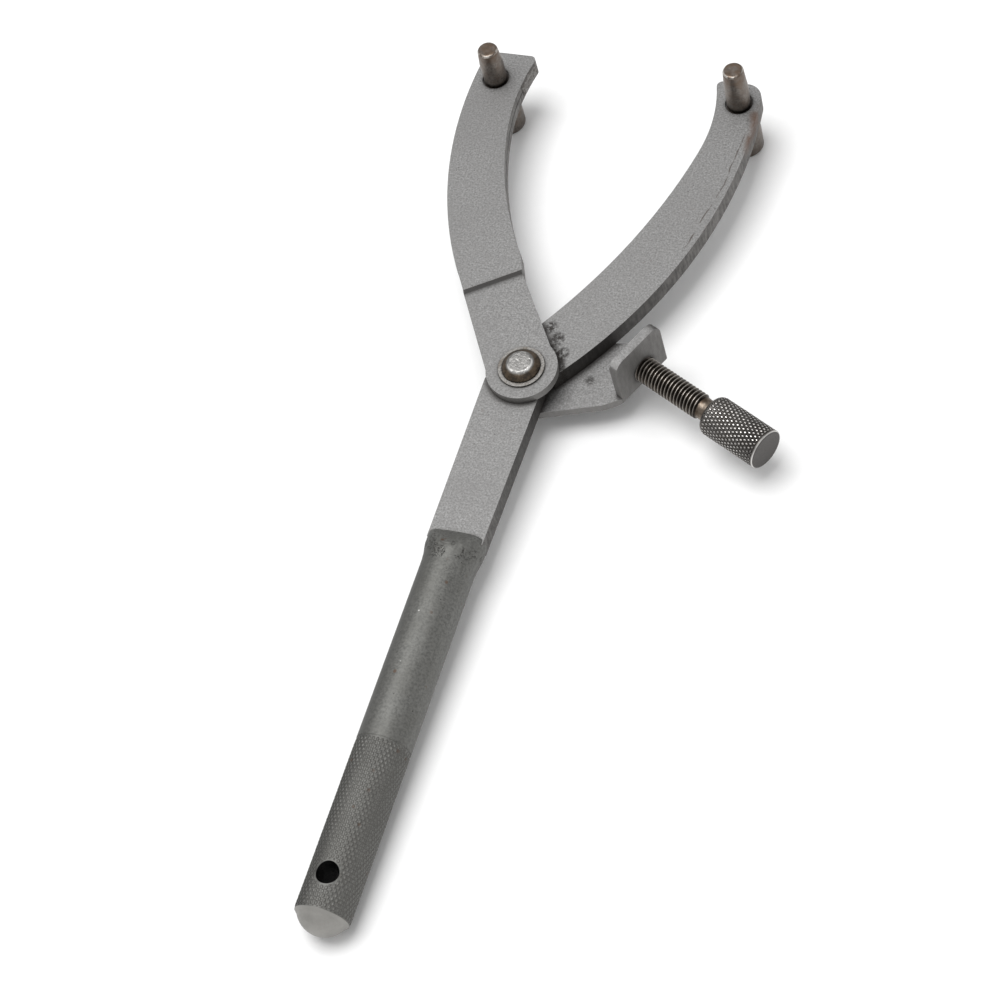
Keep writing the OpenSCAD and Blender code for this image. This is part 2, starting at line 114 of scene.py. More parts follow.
class Paint:
    """A material whose colour, roughness and bump come from nodes in the object's coordinates.

    Lengths are in metres, and those that end in _mm are in millimetres."""

    def __init__(self, name, metallic=1.0):
        self.mat = bpy.data.materials.new(name)
        self.mat.use_nodes = True
        self.tree = self.mat.node_tree
        self.tree.nodes.clear()
        out = self.tree.nodes.new("ShaderNodeOutputMaterial")
        self.shader = self.tree.nodes.new("ShaderNodeBsdfPrincipled")
        self.shader.inputs["Metallic"].default_value = metallic
        self.tree.links.new(self.shader.outputs[0], out.inputs["Surface"])
        self.place = self.tree.nodes.new("ShaderNodeTexCoord").outputs["Object"]
        split = self.tree.nodes.new("ShaderNodeSeparateXYZ")
        self.tree.links.new(self.place, split.inputs[0])
        self.x, self.y, self.z = split.outputs
        self.bumps = []

    def put(self, socket, value):
        if isinstance(value, bpy.types.NodeSocket):
            self.tree.links.new(value, socket)
        elif isinstance(value, tuple) and len(value) == 3 and len(socket.default_value) == 4:
            socket.default_value = (*value, 1.0)
        else:
            socket.default_value = value

    def math(self, operation, a, b=0.0, c=0.0, clamp=False):
        n = self.tree.nodes.new("ShaderNodeMath")
        n.operation = operation
        n.use_clamp = clamp
        for socket, value in zip(n.inputs, (a, b, c)):
            self.put(socket, value)
        return n.outputs[0]

    def scaled(self, by):
        n = self.tree.nodes.new("ShaderNodeVectorMath")
        n.operation = "MULTIPLY"
        self.put(n.inputs[0], self.place)
        n.inputs[1].default_value = by
        return n.outputs[0]

    def noise(self, size_mm, detail=2.0, rough=0.5, stretch=None, distort=0.0):
        """Noise from 0 to 1 whose features are about size_mm across."""
        n = self.tree.nodes.new("ShaderNodeTexNoise")
        self.put(n.inputs["Vector"], self.scaled(stretch) if stretch else self.place)
        n.inputs["Scale"].default_value = 1 / (size_mm * MM)
        n.inputs["Detail"].default_value = detail
        n.inputs["Roughness"].default_value = rough
        n.inputs["Distortion"].default_value = distort
        return n.outputs["Fac"]

    def spots(self, size_mm):
        """Distance to scattered points, 0 at a point."""
        n = self.tree.nodes.new("ShaderNodeTexVoronoi")
        self.put(n.inputs["Vector"], self.place)
        n.inputs["Scale"].default_value = 1 / (size_mm * MM)
        return n.outputs["Distance"]

    def step(self, value, start, stop, low=0.0, high=1.0):
        """Smooth step of value from start to stop."""
        n = self.tree.nodes.new("ShaderNodeMapRange")
        n.interpolation_type = "SMOOTHSTEP"
        for socket, v in zip(n.inputs, (value, start, stop, low, high)):
            self.put(socket, v)
        return n.outputs[0]

    def mix(self, share, a, b):
        n = self.tree.nodes.new("ShaderNodeMix")
        n.data_type = "RGBA"
        self.put(n.inputs["Factor"], share)
        self.put(n.inputs["A"], a)
        self.put(n.inputs["B"], b)
        return n.outputs["Result"]

    def both(self, a, b):
        return self.math("MULTIPLY", a, b)

    def coat(self, base, mask, colour, share):
        """Base with a colour laid over it, at its full share in places where mask is 1."""
        return self.mix(self.both(mask, share), base, colour)

    def facing_up(self):
        """1 on faces that look up or down, 0 on the sides of a plate."""
        return self.math("ABSOLUTE", self.facing((0, 0, 1)))

    def facing(self, direction):
        """How far a face looks in a direction, from -1 to 1."""
        n = self.tree.nodes.new("ShaderNodeNewGeometry")
        dot = self.tree.nodes.new("ShaderNodeVectorMath")
        dot.operation = "DOT_PRODUCT"
        self.tree.links.new(n.outputs["Normal"], dot.inputs[0])
        dot.inputs[1].default_value = direction
        return dot.outputs["Value"]

    def near(self, point, radius_mm, soft_mm, squash=(1, 1, 1)):
        """1 within radius_mm of a point of the row frame, fading to 0 over soft_mm."""
        n = self.tree.nodes.new("ShaderNodeVectorMath")
        n.operation = "MULTIPLY_ADD"
        self.put(n.inputs[0], self.place)
        n.inputs[1].default_value = squash
        n.inputs[2].default_value = tuple(-p * s for p, s in zip(point, squash))
        length = self.tree.nodes.new("ShaderNodeVectorMath")
        length.operation = "LENGTH"
        self.tree.links.new(n.outputs[0], length.inputs[0])
        return self.step(length.outputs["Value"], (radius_mm + soft_mm) * MM, radius_mm * MM)

    def radius(self, a, b, at=(0.0, 0.0)):
        """Distance from an axis, given the two coordinates across it."""
        da = self.math("SUBTRACT", a, at[0])
        db = self.math("SUBTRACT", b, at[1])
        return self.math("SQRT", self.math("ADD", self.both(da, da), self.both(db, db)))

    def corner_shade(self, reach_mm, start=0.55, stop=0.95):
        """Ambient-occlusion mask for painted shade: 1 in corners and gaps, 0 in the open."""
        n = self.tree.nodes.new("ShaderNodeAmbientOcclusion")
        n.samples = 8
        n.inputs["Distance"].default_value = reach_mm * MM
        return self.step(n.outputs["AO"], stop, start)

    def bump(self, height, depth_mm, strength=1.0):
        self.bumps.append((height, depth_mm * MM, strength))

    def finish(self, colour, roughness):
        self.put(self.shader.inputs["Base Color"], colour)
        self.put(self.shader.inputs["Roughness"], roughness)
        normal = None
        for height, depth, strength in self.bumps:
            n = self.tree.nodes.new("ShaderNodeBump")
            n.inputs["Distance"].default_value = depth
            n.inputs["Strength"].default_value = strength
            self.put(n.inputs["Height"], height)
            if normal is not None:
                self.tree.links.new(normal, n.inputs["Normal"])
            normal = n.outputs[0]
        if normal is not None:
            self.tree.links.new(normal, self.shader.inputs["Normal"])
        return self.mat


RUST = (0.100, 0.054, 0.033)
# dark colour of real dirt, pits and cracks, also used for painted shade in corners, creases and on far edges
GRIME_AND_SHADE = (0.030, 0.026, 0.023)
# direction toward which the plates' rounded edges get a painted highlight; edges facing away get painted shade
NEAR_SIDE = (0.58, -0.81, 0.0)
# colour of a plate's cut sides near the pivot, and how strong it is: painted shade with dirt on the fixed jaw, a
# lighter clean tone on the leaves
PIVOT_SHADE_AND_DIRT = ((0.026, 0.024, 0.022), 0.8)
CLEAN_SIDE = ((0.215, 0.210, 0.203), 0.75)


def speckled(p, fine, grain):
    """Light grey blasted steel with a fine speckle and small dark pits."""
    cloud = p.noise(26.0, 3.0, 0.55)
    base = p.mix(p.step(fine, 0.30, 0.70), (0.128, 0.127, 0.125), (0.335, 0.332, 0.328))
    base = p.mix(p.step(grain, 0.30, 0.72, 0.0, 0.35), base, (0.225, 0.221, 0.217))
    base = p.mix(p.step(cloud, 0.35, 0.72, 0.0, 0.30), base, (0.190, 0.186, 0.183))
    pit = p.step(p.spots(2.6), 0.10, 0.045)
    pit = p.both(pit, p.step(p.noise(7.0), 0.50, 0.62))
    return p.coat(base, pit, GRIME_AND_SHADE, 0.75)


def cut_sides(p, base, up, near_pivot):
    """Sides painted darker than the tops and streaked, a painted shade, with a colour of their own near the pivot,
    and rounded edges with a painted highlight on the near side and painted shade on the far side."""
    shade, strength = near_pivot
    streak = p.noise(1.1, 3.0, 0.6, stretch=(1.0, 1.0, 0.25))
    # painted shade: the cut sides are darker than the tops
    side = p.mix(p.step(streak, 0.3, 0.7), (0.070, 0.066, 0.062), (0.170, 0.162, 0.154))
    # near the pivot: painted shade with dirt on the fixed jaw, a lighter clean tone on the leaves
    side = p.mix(p.both(p.near(pivot, 24, 50), strength), side, shade)
    base = p.mix(p.step(up, 0.30, 0.62), side, base)
    edge = p.both(p.step(up, 0.45, 0.62), p.step(up, 0.992, 0.95))
    toward = p.facing(NEAR_SIDE)
    # painted highlight on the rounded edges that face NEAR_SIDE
    worn = p.both(edge, p.step(toward, 0.08, 0.35))
    base = p.coat(base, worn, (0.46, 0.455, 0.445), 0.55)
    # painted shade on the rounded edges that face away
    far_edge_shade = p.both(edge, p.step(toward, -0.08, -0.35))
    return p.coat(base, far_edge_shade, GRIME_AND_SHADE, 0.75)


def shaded_bend(p, base, angle, start, stop):
    """Painted shade on a bend that runs from start to stop in the direction of angle, and a
    line of painted shade in the crease where it ends."""
    dx = p.both(p.math("SUBTRACT", p.x, pivot.x), math.cos(math.radians(angle)))
    dy = p.both(p.math("SUBTRACT", p.y, pivot.y), math.sin(math.radians(angle)))
    along = p.math("ADD", dx, dy)
    # painted shade on the bend's slope
    bend_shade = p.both(p.step(along, start - 3.2 * MM, start + 0.8 * MM),
                   p.math("LESS_THAN", along, stop))
    base = p.coat(base, bend_shade, (0.050, 0.047, 0.045), 0.74)
    # painted shade in the crease where the bend ends
    line = p.both(p.step(along, stop - 0.55 * MM, stop - 0.15 * MM),
                  p.step(along, stop + 0.25 * MM, stop))
    return p.coat(base, line, GRIME_AND_SHADE, 0.9)


def packed_dirt(p, base, ring_r, ring_w):
    """Dirt packed against the round end of the other jaw, on the side of the jaws' tips."""
    r = p.radius(p.x, p.y, (pivot.x, pivot.y))
    crumbs = p.step(p.noise(0.9, 3.0, 0.7), 0.38, 0.56)
    packed = p.both(p.step(r, ring_r + ring_w, ring_r + 0.35 * ring_w), crumbs)
    packed = p.both(packed, p.step(p.y, pivot.y - 1.0 * MM, pivot.y + 3.0 * MM))
    p.bump(p.both(packed, p.noise(0.9, 3.0, 0.7)), 0.35)
    return p.coat(base, packed, GRIME_AND_SHADE, 0.92)


def edge_crack(p, base, middle, crack_r, start_y, stop_y):
    """A broken dark line along an arc of radius crack_r about middle."""
    r = p.math("ADD", p.radius(p.x, p.y, middle), p.both(p.noise(8.0, 3.0), 2.4 * MM))
    line = p.step(p.math("ABSOLUTE", p.math("SUBTRACT", r, crack_r)), 0.28 * MM, 0.08 * MM)
    line = p.both(line, p.step(p.noise(4.0, 3.0, 0.7), 0.38, 0.54))
    line = p.both(line, p.both(p.step(p.y, start_y, start_y + 8 * MM),
                               p.step(p.y, stop_y, stop_y - 6 * MM)))
    return p.coat(base, line, (0.060, 0.045, 0.036), 0.8)


def blasted(name, stains=(), grime=(), rusty=0.0, bend=None, ring=None, crack=None,
            near_pivot=PIVOT_SHADE_AND_DIRT):
    """Bead-blasted plate, with the marks that its own piece has, and painted shade and highlights on its sides,
    edges, bend and corners.
    """
    p = Paint(name, metallic=0.55)
    fine = p.noise(0.60, 4.0, 0.78)
    grain = p.noise(1.8, 3.0, 0.6)
    base = speckled(p, fine, grain)
    base = cut_sides(p, base, p.facing_up(), near_pivot)
    if bend:
        base = shaded_bend(p, base, *bend)
    if ring:
        base = packed_dirt(p, base, *ring)
    uneven = p.step(p.noise(9.0, 3.0, 0.6), 0.34, 0.62)
    for point, radius, soft, squash, colour, strength in stains:
        patch = p.both(p.near(point, radius, soft, squash), uneven)
        base = p.coat(base, patch, colour, strength)
    if crack:
        base = edge_crack(p, base, *crack)
    for point, radius, soft, squash, strength in grime:
        crumbs = p.step(p.noise(1.1, 3.0, 0.7), 0.36, 0.60)
        patch = p.both(p.near(point, radius, soft, squash), crumbs)
        base = p.coat(base, patch, GRIME_AND_SHADE, strength)
        p.bump(p.both(patch, p.noise(0.9, 3.0, 0.7)), 0.35)
    if rusty:
        spot = p.both(p.step(p.noise(2.2, 4.0, 0.7), 0.60, 0.72), p.step(p.noise(16.0), 0.48, 0.62))
        base = p.coat(base, spot, RUST, rusty)
    # painted shade in corners and gaps, in the dirt colour
    base = p.coat(base, p.corner_shade(2.5), GRIME_AND_SHADE, 0.75)
    p.bump(fine, 0.05)
    p.bump(grain, 0.06)
    return p.finish(base, p.step(grain, 0.2, 0.8, 0.50, 0.62))


def bar_steel(name, knurl_radii=None, nicked=False):
    """Oiled dark bar, with brown specks, long faint scratches and painted glints, painted shade on its left flank
    and in its hanging hole, and a lighter domed end. knurl_radii are the radii at the foot and at the top of its
    knurl, where it has one."""
    p = Paint(name, metallic=0.75)
    fine = p.noise(0.7, 3.0, 0.6)
    cloud = p.noise(9.0, 4.0, 0.6)
    along = p.noise(1.6, 3.0, 0.6, stretch=(1.0, 0.12, 1.0))
    base = p.mix(p.step(fine, 0.3, 0.7), (0.112, 0.112, 0.106), (0.192, 0.192, 0.182))
    base = p.mix(p.step(cloud, 0.35, 0.70, 0.0, 0.35), base, (0.120, 0.118, 0.108))
    base = p.mix(p.step(along, 0.45, 0.75, 0.0, 0.22), base, (0.225, 0.223, 0.212))
    speck = p.both(p.step(p.spots(4.2), 0.17, 0.09), p.step(p.noise(9.0), 0.42, 0.52))
    base = p.coat(base, speck, RUST, 0.70)
    glint = p.both(p.step(p.spots(3.1), 0.10, 0.05), p.step(p.noise(7.0), 0.50, 0.60))
    base = p.mix(glint, base, (0.480, 0.475, 0.460))
    pit = p.both(p.step(p.spots(2.2), 0.11, 0.05), p.step(p.noise(6.0), 0.46, 0.60))
    base = p.coat(base, pit, GRIME_AND_SHADE, 0.8)
    # painted shade on the bar's left flank
    flank_shade = p.step(p.facing((-1, 0, 0)), 0.10, 0.80)
    base = p.coat(base, flank_shade, (0.045, 0.045, 0.042), 0.55)
    # the domed end is bare metal, painted lighter, partly as a painted highlight
    bare_lit_end = p.step(p.facing((0, -1, 0)), 0.35, 0.55)
    base = p.mix(p.both(bare_lit_end, p.step(cloud, 0.2, 0.6, 0.55, 1.0)), base, (0.330, 0.322, 0.305))
    # painted shadow: the inside of the hanging hole is painted near black
    hole_shadow = p.step(p.radius(p.x, p.y), HOLE_R + 0.12 * MM, HOLE_R + 0.02 * MM)
    base = p.mix(hole_shadow, base, (0.006, 0.006, 0.006))
    rough = p.step(fine, 0.2, 0.8, 0.52, 0.64)
    if nicked:
        # cracks and nicks where the weld was ground
        crack = p.noise(3.2, 4.0, 0.65, distort=1.5)
        crack = p.math("ABSOLUTE", p.math("SUBTRACT", crack, 0.5))
        crack = p.both(p.step(crack, 0.022, 0.006), p.step(p.noise(5.0), 0.50, 0.60))
        base = p.coat(base, crack, GRIME_AND_SHADE, 0.9)
        p.bump(crack, -0.25)
    if knurl_radii:
        tip = p.step(p.radius(p.x, p.z), *knurl_radii)
        # painted shade in the knurl's grooves: dark on the left flank, faint on the crown and the right side,
        # where light falls
        turned = p.math("ARCTAN2", p.x, p.z)
        faint = p.step(turned, -0.75, -0.10)
        groove_shade = p.mix(faint, (0.040, 0.038, 0.035), (0.105, 0.101, 0.094))
        base = p.mix(tip, groove_shade, base)
        rough = p.step(tip, 0.0, 1.0, 0.66, 0.52)
    p.bump(fine, 0.03)
    p.bump(cloud, 0.25)
    return p.finish(base, rough)


def pin_steel(name, tip_z, jaw_z):
    """Pin with a worn brown end, and painted shade at its foot where it meets the jaw."""
    p = Paint(name)
    fine = p.noise(0.6, 3.0, 0.6)
    band = p.noise(2.4, 4.0, 0.65)
    base = p.mix(p.step(fine, 0.3, 0.7), (0.130, 0.114, 0.101), (0.225, 0.204, 0.186))
    base = p.mix(p.step(band, 0.40, 0.68, 0.0, 0.55), base, (0.135, 0.098, 0.072))
    near_tip = p.step(p.z, tip_z - 5.0 * MM, tip_z - 1.5 * MM)
    base = p.mix(p.both(near_tip, p.step(band, 0.30, 0.62, 0.15, 0.85)), base, (0.128, 0.092, 0.068))
    # bright rim where the end is worn
    rim = p.both(p.step(p.z, tip_z - 0.85 * MM, tip_z - 0.55 * MM),
                 p.step(p.z, tip_z - 0.06 * MM, tip_z - 0.22 * MM))
    base = p.mix(p.both(rim, p.step(p.noise(2.0), 0.38, 0.60)), base, (0.520, 0.490, 0.455))
    # painted shade round the pin's foot, where it stands in the jaw
    foot = p.step(p.z, jaw_z + 1.6 * MM, jaw_z - 0.2 * MM)
    above = p.math("GREATER_THAN", p.z, 0.0)
    base = p.coat(base, p.both(foot, above), GRIME_AND_SHADE, 0.85)
    p.bump(fine, 0.04)
    p.bump(band, 0.12)
    return p.finish(base, p.step(fine, 0.2, 0.8, 0.34, 0.48))


def rivet_steel(name, top_z):
    """Rivet head, polished by wear on its crown, with a painted highlight round the crown's edge and a dark brown
    sloping side, painted shade with oil.
    """
    p = Paint(name)
    fine = p.noise(0.8, 3.0, 0.6)
    blot = p.noise(2.6, 4.0, 0.65)
    height = p.math("ABSOLUTE", p.z)
    base = p.mix(p.step(fine, 0.3, 0.7), (0.200, 0.196, 0.190), (0.320, 0.314, 0.304))
    # the crown is polished; its sloping side is painted dark brown, painted shade with oil
    low = p.step(height, top_z - 0.25 * MM, top_z - 0.75 * MM)
    oil_and_shade = p.mix(p.step(blot, 0.35, 0.62), (0.042, 0.034, 0.027), (0.120, 0.092, 0.066))
    base = p.mix(p.both(low, p.step(blot, 0.22, 0.46, 0.70, 1.0)), base, oil_and_shade)
    # painted highlight round the crown's edge
    brim_highlight = p.both(p.step(height, top_z - 0.42 * MM, top_z - 0.20 * MM),
                  p.step(height, top_z - 0.02 * MM, top_z - 0.10 * MM))
    base = p.mix(p.both(brim_highlight, p.step(p.noise(5.0), 0.42, 0.56)), base, (0.720, 0.710, 0.690))
    p.bump(fine, 0.04)
    p.bump(blot, 0.22)
    return p.finish(base, p.step(blot, 0.3, 0.7, 0.30, 0.46))


def ring_steel(name):
    """Washer, darker with old oil."""
    p = Paint(name)
    fine = p.noise(0.5, 3.0, 0.6)
    blot = p.noise(3.0, 4.0, 0.65)
    base = p.mix(p.step(fine, 0.3, 0.7), (0.170, 0.164, 0.155), (0.300, 0.291, 0.278))
    base = p.mix(p.step(blot, 0.48, 0.70, 0.0, 0.60), base, (0.125, 0.102, 0.080))
    # painted shade in corners and gaps, in the dirt colour
    base = p.mix(p.corner_shade(0.7), base, GRIME_AND_SHADE)
    p.bump(fine, 0.04)
    return p.finish(base, p.step(fine, 0.2, 0.8, 0.36, 0.52))


def screw_steel(name, thread_radii=None, neck_x=None):
    """Brown oxide in the thread, bright on its crests, worn brighter on the neck. thread_radii
    are those of the root and the crest, and neck_x is where the neck starts."""
    p = Paint(name)
    fine = p.noise(0.5, 3.0, 0.6)
    blot = p.noise(3.0, 4.0, 0.65)
    base = p.mix(p.step(blot, 0.3, 0.7), (0.032, 0.027, 0.023), (0.074, 0.062, 0.051))
    if thread_radii:
        root_r, crest_r = thread_radii
        r = p.radius(p.y, p.z)
        crest = p.step(r, root_r + 0.82 * (crest_r - root_r), crest_r - 0.01 * MM)
        deep = p.step(r, crest_r - 0.35 * (crest_r - root_r), root_r)
        base = p.coat(base, deep, (0.024, 0.018, 0.014), 0.7)
        base = p.mix(p.both(crest, p.step(blot, 0.25, 0.60, 0.45, 1.0)), base,
                     (0.360, 0.335, 0.305))
    if neck_x is not None:
        neck = p.step(p.x, neck_x - 0.1 * MM, neck_x + 0.4 * MM)
        shade = p.mix(p.step(blot, 0.35, 0.65), (0.080, 0.058, 0.042), (0.190, 0.158, 0.128))
        base = p.mix(neck, base, shade)
    p.bump(fine, 0.03)
    return p.finish(base, p.step(fine, 0.2, 0.8, 0.30, 0.46))


def knob_steel(name, knurl_radii=None, rim_x=None):
    """Knob: dark with oil in its grooves, with painted highlights on the knurl's points and on its worn outer rim.
    rim_x is where the outer rim starts and stops along the screw."""
    p = Paint(name)
    fine = p.noise(0.6, 3.0, 0.6)
    blot = p.noise(4.0, 4.0, 0.6)
    base = p.mix(p.step(fine, 0.3, 0.7), (0.135, 0.127, 0.120), (0.215, 0.205, 0.195))
    base = p.mix(p.step(blot, 0.40, 0.68, 0.0, 0.45), base, (0.110, 0.092, 0.078))
    if knurl_radii:
        low, high = knurl_radii
        r = p.radius(p.y, p.z)
        tip = p.step(r, low, high)
        base = p.mix(tip, (0.012, 0.011, 0.010), base)
        # painted highlight on the knurl's points
        worn = p.both(p.step(r, high - 0.05 * MM, high), p.step(blot, 0.30, 0.55, 0.5, 1.0))
        base = p.mix(worn, base, (0.560, 0.545, 0.525))
        rough = p.step(tip, 0.0, 1.0, 0.60, 0.30)
    else:
        rough = p.step(fine, 0.2, 0.8, 0.36, 0.50)
    if rim_x:
        start, stop = rim_x
        # painted highlight on the worn outer rim
        rim = p.both(p.step(p.x, start - 0.05 * MM, start + 0.05 * MM),
                     p.step(p.x, stop - 0.04 * MM, stop - 0.12 * MM))
        base = p.mix(p.both(rim, p.step(blot, 0.25, 0.5, 0.6, 1.0)), base, (0.620, 0.610, 0.590))
        face = p.step(p.x, stop - 0.16 * MM, stop - 0.08 * MM)
        base = p.coat(base, face, (0.075, 0.071, 0.068), 0.9)
    p.bump(fine, 0.03)
    return p.finish(base, rough)


def weld_steel(name):
    """Weld metal: lumpy and dull."""
    p = Paint(name)
    fine = p.noise(0.5, 3.0, 0.65)
    lump = p.noise(1.8, 4.0, 0.65)
    base = p.mix(p.step(fine, 0.3, 0.7), (0.160, 0.152, 0.145), (0.290, 0.282, 0.272))
    base = p.mix(p.step(lump, 0.42, 0.66, 0.0, 0.6), base, (0.105, 0.092, 0.080))
    # painted shade in corners and gaps, in the dirt colour
    base = p.coat(base, p.corner_shade(1.5), GRIME_AND_SHADE, 0.8)
    hole = p.both(p.step(p.spots(1.5), 0.20, 0.08), p.step(p.noise(4.0), 0.42, 0.58))
    base = p.coat(base, hole, GRIME_AND_SHADE, 0.9)
    p.bump(lump, 0.25)
    p.bump(fine, 0.05)
    return p.finish(base, p.step(fine, 0.2, 0.8, 0.46, 0.62))


# ---- mesh helpers ----


def build(name, verts, faces, material, body, matrix=None, smooth=False, merge=0.004):
    """A piece from points in metres, with doubles merged and empty faces dropped.

    merge is the distance in mm under which points are merged."""
    mesh = bpy.data.meshes.new(name)
    mesh.from_pydata([tuple(v) for v in verts], [], [tuple(f) for f in faces])
    work = bmesh.new()
    work.from_mesh(mesh)
    bmesh.ops.remove_doubles(work, verts=work.verts, dist=merge * MM)
    bmesh.ops.dissolve_degenerate(work, edges=work.edges, dist=merge * MM)
    loose = [v for v in work.verts if not v.link_faces]
    bmesh.ops.delete(work, geom=loose, context="VERTS")
    bmesh.ops.recalc_face_normals(work, faces=work.faces)
    work.to_mesh(mesh)
    work.free()
    mesh.validate()
    mesh.polygons.foreach_set("use_smooth", [smooth] * len(mesh.polygons))
    mesh.materials.append(material)
    obj = show(name, mesh)
    if matrix is not None:
        obj.matrix_world = matrix
    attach(obj, body)
    return obj


# angles in degrees: under FLAT_UNDER two faces are one flat, over BEVEL_OVER their edge is rounded
FLAT_UNDER = 0.3
BEVEL_OVER = 28


def soften(node, width_mm, segments=2):
    """Rounds a CAD node's edges with modifiers, leaving its own mesh as it is."""
    obj = nodes[node]
    weld = obj.modifiers.new("weld", "WELD")
    weld.merge_threshold = 0.002 * MM
    flat = obj.modifiers.new("flat", "DECIMATE")
    flat.decimate_type = "DISSOLVE"
    flat.angle_limit = math.radians(FLAT_UNDER)
    bevel = obj.modifiers.new("bevel", "BEVEL")
    bevel.width = width_mm * MM
    bevel.segments = segments
    bevel.limit_method = "ANGLE"
    bevel.angle_limit = math.radians(BEVEL_OVER)
    bevel.use_clamp_overlap = True
    normals = obj.modifiers.new("normals", "WEIGHTED_NORMAL")
    normals.weight = 70
    normals.keep_sharp = False


def dress(node, material):
    materials = nodes[node].data.materials
    materials.clear()
    materials.append(material)


def show(name, data):
    """Puts a new object with this data into the scene."""
    obj = bpy.data.objects.new(name, data)
    bpy.context.scene.collection.objects.link(obj)
    return obj


def lathe(outline, count):
    """Points and faces of a profile of (along, radius) turned about the first axis."""
    points, faces = [], []
    for x, radius in outline:
        for k in range(count):
            a = 2 * math.pi * k / count
            points.append((x, radius * math.cos(a), radius * math.sin(a)))
    for s in range(len(outline) - 1):
        for k in range(count):
            n = (k + 1) % count
            a, b = s * count, (s + 1) * count
            faces.append((a + k, a + n, b + n, b + k))
    return points, faces


def helix_lattice(radius, pitch, start, stop, height, helix_deg=30.0):
    """Crossed helical grooves round an axis: returns points (along, angle, rise) and quads.

    Each diamond is a blunt pyramid. rise runs from 0 in a groove to height on its flat top."""
    angle = math.radians(helix_deg)
    count = round(2 * math.pi * radius * math.cos(angle) / pitch)
    lead = 2 * math.pi * radius / count / math.tan(angle)
    # a diamond's side, as shares of it: the groove, then the two ends of the flat top
    cuts = (0.0, 0.36, 0.64)
    rises = (0.0, 1.0, 1.0)
    rows = math.ceil((stop - start) / lead) + count + 2
    points, quads, known = [], [], {}

    def point(i, a, j, b):
        u, v = i + cuts[a], j + cuts[b]
        turn = (u + v) / count * 0.5
        along = start + lead * (u - v) * 0.5
        key = (round((turn % 1.0) * count * 100) % (count * 100), round(along / lead * 1000))
        if key not in known:
            known[key] = len(points)
            points.append((along, 2 * math.pi * (turn % 1.0), min(rises[a], rises[b]) * height))
        return known[key]

    for i in range(count):
        for j in range(i - rows * 2, i + 2):
            low = start + lead * (i - j - 1) * 0.5
            if low > stop + lead or low < start - 2 * lead:
                continue
            for a in range(3):
                for b in range(3):
                    ia, na = (i, a + 1) if a < 2 else (i + 1, 0)
                    jb, nb = (j, b + 1) if b < 2 else (j + 1, 0)
                    quads.append((point(i, a, j, b), point(ia, na, j, b),
                                  point(ia, na, jb, nb), point(i, a, jb, nb)))
    return np.array(points), quads


def smoothstep(x):
    x = np.clip(x, 0.0, 1.0)
    return x * x * (3 - 2 * x)


def knurl(radius, pitch, start, stop, height, fade_in, fade_out):
    """A knurl that is cut off at start and stop and fades there: along, angle, rise and quads."""
    points, quads = helix_lattice(radius, pitch, start, stop, height)
    along = np.clip(points[:, 0], start, stop)
    fade = smoothstep((along - start) / fade_in) * smoothstep((stop - along) / fade_out)
    past = (points[:, 0] <= start) | (points[:, 0] >= stop)
    quads = [q for q in quads if not all(past[c] for c in q)]
    return along, points[:, 1], points[:, 2] * fade, quads


WAVES = 9


def value_noise(points, size, seed):
    """Cheap smooth noise from 0 to 1 at points, the same on each run."""
    rng = np.random.default_rng(seed)
    waves = rng.normal(size=(WAVES, 3)) / size
    phase = rng.uniform(0, 2 * math.pi, WAVES)
    total = np.sin(points @ waves.T + phase).mean(axis=1)
    return np.clip(0.5 + total * 1.4, 0, 1)


# ---- the camera, at the photograph's angle ----

CAMERA_AT = (0.24956, -0.21367, 0.62897)
CAMERA_RIGHT = Vector((0.93328, 0.30002, -0.19742))
CAMERA_UP = Vector((-0.16189, 0.84211, 0.51444))
FOCAL_MM = 93.64
SENSOR_MM = 36.0

camera_data = bpy.data.cameras.new("camera")
camera_data.sensor_width = SENSOR_MM
camera_data.lens = FOCAL_MM
camera_data.clip_start = 0.01
camera_data.clip_end = 20
camera = show("camera", camera_data)
right = CAMERA_RIGHT.normalized()
back = right.cross(CAMERA_UP).normalized()
turned = Matrix((right, back.cross(right), back)).transposed().to_4x4()
camera.matrix_world = Matrix.Translation(CAMERA_AT) @ turned
bpy.context.scene.camera = camera

# ---- frame pieces that stay as CAD made them ----

fixed_pin = centre("fixed_jaw_pin")
moving_pin = centre("moving_jaw_pin")
DIRT_WIDTH = 2.6 * MM

# each stain: place, radius and fade in mm, squash along x, y and z, colour, strength
jaw_stains = [
    # brown streaks down the outer edge near the tip, and a smear behind the pin
    (pivot + Vector((0.0448, 0.0985, 0.003)), 0.8, 2.0, (1.0, 0.22, 0.5), RUST, 0.85),
    (fixed_pin + Vector((0.0062, -0.0030, 0.0)), 1.0, 2.0, (1.0, 0.45, 0.5), RUST, 0.85),
    (fixed_pin + Vector((0.0010, -0.0080, 0.0)), 0.4, 1.2, (0.5, 1.0, 0.5), GRIME_AND_SHADE, 0.60),
]
# each patch of grime: the same without the colour
jaw_grime = [
    # crumbs along the moving jaw's strap
    (pivot + Vector((0.0034, 0.0172, 0.003)), 1.0, 1.5, (1.0, 0.80, 1.0), 0.95),
    (pivot + Vector((0.0066, 0.0132, 0.003)), 1.3, 1.6, (1.0, 0.80, 1.0), 0.95),
    (pivot + Vector((0.0096, 0.0084, 0.003)), 1.2, 1.5, (1.0, 0.80, 1.0), 0.95),
    # a smear below the pin
    (fixed_pin + Vector((0.0045, -0.0075, -0.002)), 0.5, 1.4, (1.0, 0.35, 0.3), 0.7),
]
bracket_grime = [(screw_pos + Vector((-0.0165, -0.0045, -0.004)), 0.6, 1.6, (1.0, 1.0, 0.4), 0.7)]
